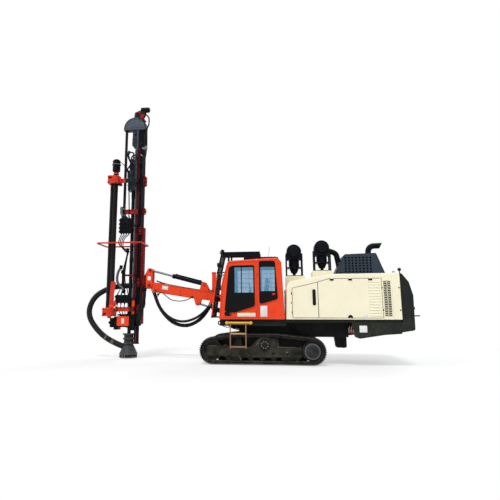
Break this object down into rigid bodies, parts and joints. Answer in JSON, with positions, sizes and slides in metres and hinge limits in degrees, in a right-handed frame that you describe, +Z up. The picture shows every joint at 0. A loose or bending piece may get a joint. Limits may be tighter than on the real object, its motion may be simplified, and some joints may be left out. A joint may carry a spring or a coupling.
{
  "type": "down-the-hole drilling rig",
  "caption": "Crawler drilling rig: cab, hooded power pack, articulated boom and upright feed mast with rotary head, pipe magazine and dust hood.",
  "frame": {"origin": "on the ground, at the middle of the machine's length and width", "axes": "+Z up, -X is the machine's front (the mast end), -Y its left side (the cab side)"},
  "size_m": [9.8908, 2.615, 8.4199],
  "materials": {
    "orange_paint": "satin",
    "cream_paint": "satin",
    "chassis_paint": "matt",
    "mast_paint": "satin",
    "red_paint": "satin",
    "blue_grey_paint": "satin",
    "track_steel": "worn",
    "pipe_steel": "worn",
    "rod_chrome": "polished",
    "black_paint": "satin",
    "hose_rubber": "matt",
    "window_glass": "clear",
    "seat_fabric": "matt",
    "yellow_paint": "worn",
    "guard_grey": "satin"
  },
  "bodies": {
    "root": {"air_filters": "black_paint", "axle": "chassis_paint", "boom_mount": "orange_paint", "cab_glass": "window_glass", "cab_shell": "orange_paint", "console": "black_paint", "coolers": "black_paint", "deck_tank": "chassis_paint", "exhaust_guard": "blue_grey_paint", "exhaust_pipe": "black_paint", "filter_stands": "cream_paint", "guard_front": "black_paint", "guard_roof": "black_paint", "hood": "cream_paint", "ladder": "yellow_paint", "main_frame": "chassis_paint", "power_pack": "black_paint", "rear_grille": "black_paint", "rollers": "chassis_paint", "seat": "seat_fabric", "side_frames": "chassis_paint", "side_grilles": "black_paint", "tail": "chassis_paint", "track_left": "track_steel", "track_right": "track_steel", "track_wheels": "chassis_paint"},
    "cab_door": {"cab_door": "orange_paint", "door_glass": "window_glass"},
    "hood_door_left": {"hood_door_left": "cream_paint"},
    "hood_hatch_left": {"hood_hatch_left": "cream_paint"},
    "hood_door_right": {"hood_door_right": "cream_paint"},
    "hood_hatch_right": {"hood_hatch_right": "cream_paint"},
    "swing_bracket": {"swing_bracket": "orange_paint"},
    "boom": {"boom": "orange_paint", "boom_dust_hose": "hose_rubber", "boom_air_hose": "hose_rubber", "hose_brackets": "black_paint"},
    "lift_barrel": {"lift_barrel": "black_paint"},
    "lift_rod": {"lift_rod": "rod_chrome"},
    "tilt_barrel": {"tilt_barrel": "black_paint"},
    "tilt_rod": {"tilt_rod": "rod_chrome"},
    "boom_head": {"boom_head": "orange_paint"},
    "cradle": {"cradle": "red_paint"},
    "mast": {"feed_beam": "mast_paint", "mast_top": "mast_paint", "sheave_guard": "guard_grey", "top_motor": "black_paint", "clamp_table": "mast_paint", "clamp_cover": "orange_paint", "dust_hood": "blue_grey_paint", "magazine_frame": "orange_paint", "magazine_motor": "black_paint", "mast_hoses": "hose_rubber", "hose_arm": "mast_paint", "dust_hose": "hose_rubber"},
    "carriage": {"carriage": "mast_paint", "rotary_head": "mast_paint"},
    "drill_string": {"drill_pipe": "pipe_steel", "hammer": "pipe_steel"},
    "carousel": {"carousel": "pipe_steel"}
  },
  "joints": [
    {"name": "cab_door_hinge", "type": "hinge", "parent": "root", "child": "cab_door", "pos_m": [0.6175, -1.2593, 2], "axis": [0, 0, 1], "range_deg": [0, 95]},
    {"name": "door_left_hinge", "type": "hinge", "parent": "root", "child": "hood_door_left", "pos_m": [1.5975, -1.2093, 1.7], "axis": [0, 0, -1], "range_deg": [0, 110]},
    {"name": "hatch_left_hinge", "type": "hinge", "parent": "root", "child": "hood_hatch_left", "pos_m": [3.1, -1.2093, 2.3425], "axis": [-1, 0, 0], "range_deg": [0, 80]},
    {"name": "door_right_hinge", "type": "hinge", "parent": "root", "child": "hood_door_right", "pos_m": [1.5975, 1.2093, 1.7], "axis": [0, 0, 1], "range_deg": [0, 110]},
    {"name": "hatch_right_hinge", "type": "hinge", "parent": "root", "child": "hood_hatch_right", "pos_m": [3.1, 1.2093, 2.3425], "axis": [1, 0, 0], "range_deg": [0, 80]},
    {"name": "boom_swing", "type": "hinge", "parent": "root", "child": "swing_bracket", "pos_m": [0, 0.2, 1.6], "axis": [0, 0, 1], "range_deg": [-35, 15]},
    {"name": "boom_lift", "type": "hinge", "parent": "swing_bracket", "child": "boom", "pos_m": [-0.16, 0.2, 1.75], "axis": [0, 1, 0], "range_deg": [-15, 40]},
    {"name": "lift_barrel_pivot", "type": "hinge", "parent": "swing_bracket", "child": "lift_barrel", "pos_m": [-0.16, 0.2, 1.36], "axis": [0, 1, 0], "range_deg": [-13.35, 34.76]},
    {"name": "lift_rod_slide", "type": "slide", "parent": "lift_barrel", "child": "lift_rod", "axis": [-0.9583, 0, 0.2858], "range_m": [-0.09337, 0.24066]},
    {"name": "head_tilt", "type": "hinge", "parent": "boom", "child": "boom_head", "pos_m": [-2.86, 0.2, 2.29], "axis": [0, -1, 0], "range_deg": [-65, 25]},
    {"name": "tilt_barrel_pivot", "type": "hinge", "parent": "boom", "child": "tilt_barrel", "pos_m": [-1.1, 0.2, 2.3], "axis": [0, 1, 0], "range_deg": [-4.41, 2]},
    {"name": "tilt_rod_slide", "type": "slide", "parent": "tilt_barrel", "child": "tilt_rod", "axis": [-0.9668, 0, 0.2556], "range_m": [-0.50166, 0.19602]},
    {"name": "mast_swivel", "type": "hinge", "parent": "boom_head", "child": "cradle", "pos_m": [-3.08, 0.2, 2.37], "axis": [1, 0, 0], "range_deg": [-45, 45]},
    {"name": "feed_extend", "type": "slide", "parent": "cradle", "child": "mast", "axis": [0, 0, 1], "range_m": [-0.4, 0.9]},
    {"name": "head_feed", "type": "slide", "parent": "mast", "child": "carriage", "axis": [0, 0, 1], "range_m": [-3.6, 0.05]},
    {"name": "drill_rotation", "type": "hinge", "parent": "carriage", "child": "drill_string", "pos_m": [-3.53, 0.2, 3], "axis": [0, 0, 1], "continuous": true},
    {"name": "carousel_rotation", "type": "hinge", "parent": "mast", "child": "carousel", "pos_m": [-4.095, -0.1, 3.5], "axis": [0, 0, 1], "continuous": true}
  ],
  "couplings": [
    {"joint": "lift_barrel_pivot", "follows": "boom_lift", "ratio": 0.85641},
    {"joint": "lift_rod_slide", "follows": "boom_lift", "m_per_rad": 0.33756},
    {"joint": "tilt_barrel_pivot", "follows": "head_tilt", "ratio": 0.06021},
    {"joint": "tilt_rod_slide", "follows": "head_tilt", "m_per_rad": 0.43779}
  ]
}
